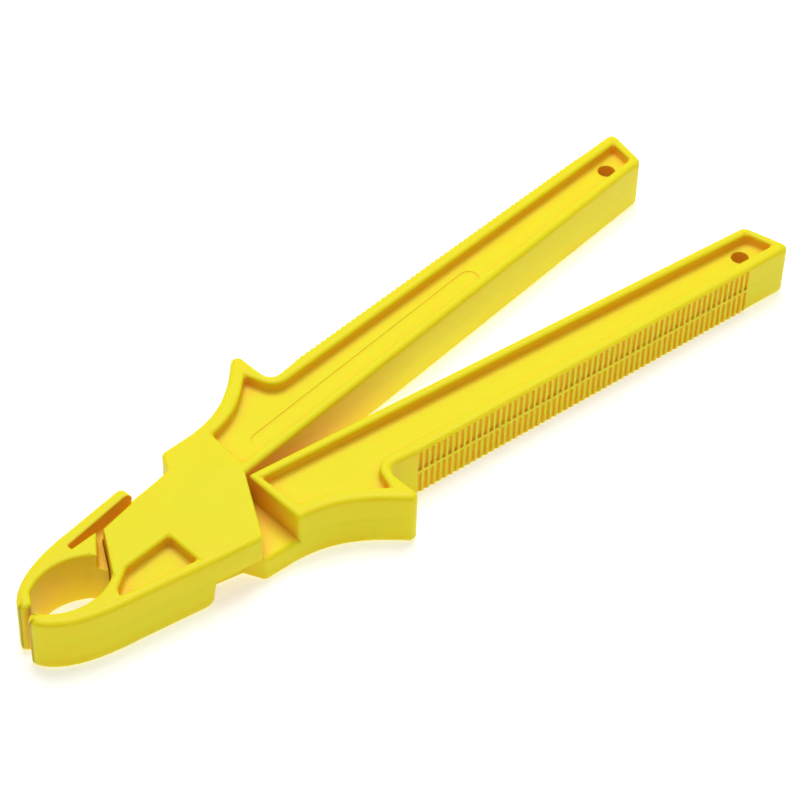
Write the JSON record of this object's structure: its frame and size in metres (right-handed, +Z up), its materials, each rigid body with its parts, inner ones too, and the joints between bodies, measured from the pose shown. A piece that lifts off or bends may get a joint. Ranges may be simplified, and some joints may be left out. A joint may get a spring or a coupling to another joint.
{
  "type": "fuse puller",
  "caption": "Non-conductive plier-shaped fuse puller with half-lapped moulded levers, a lens-shaped mouth, finger guards and ribbed handles.",
  "frame": {"origin": "middle of the closed tool's box, on the surface that the tool lies on", "axes": "+X along the tool's centre line from the jaws to the handle ends, +Y towards the upper lever's handle, +Z up out of the upper lever's blank face"},
  "size_m": [0.19, 0.0548, 0.0127],
  "materials": {
    "lever_plastic": "satin moulded yellow plastic, softly filleted edges",
    "pin_plastic": "smooth natural nylon"
  },
  "bodies": {
    "lower_arm": {"lower_lever": "lever_plastic"},
    "upper_arm": {"upper_lever": "lever_plastic", "pivot_pin": "pin_plastic"}
  },
  "joints": [
    {"name": "pivot", "type": "hinge", "parent": "lower_arm", "child": "upper_arm", "pos_m": [-0.05315, 0, 0], "axis": [0, 0, 1], "range_deg": [-1, 37]}
  ]
}
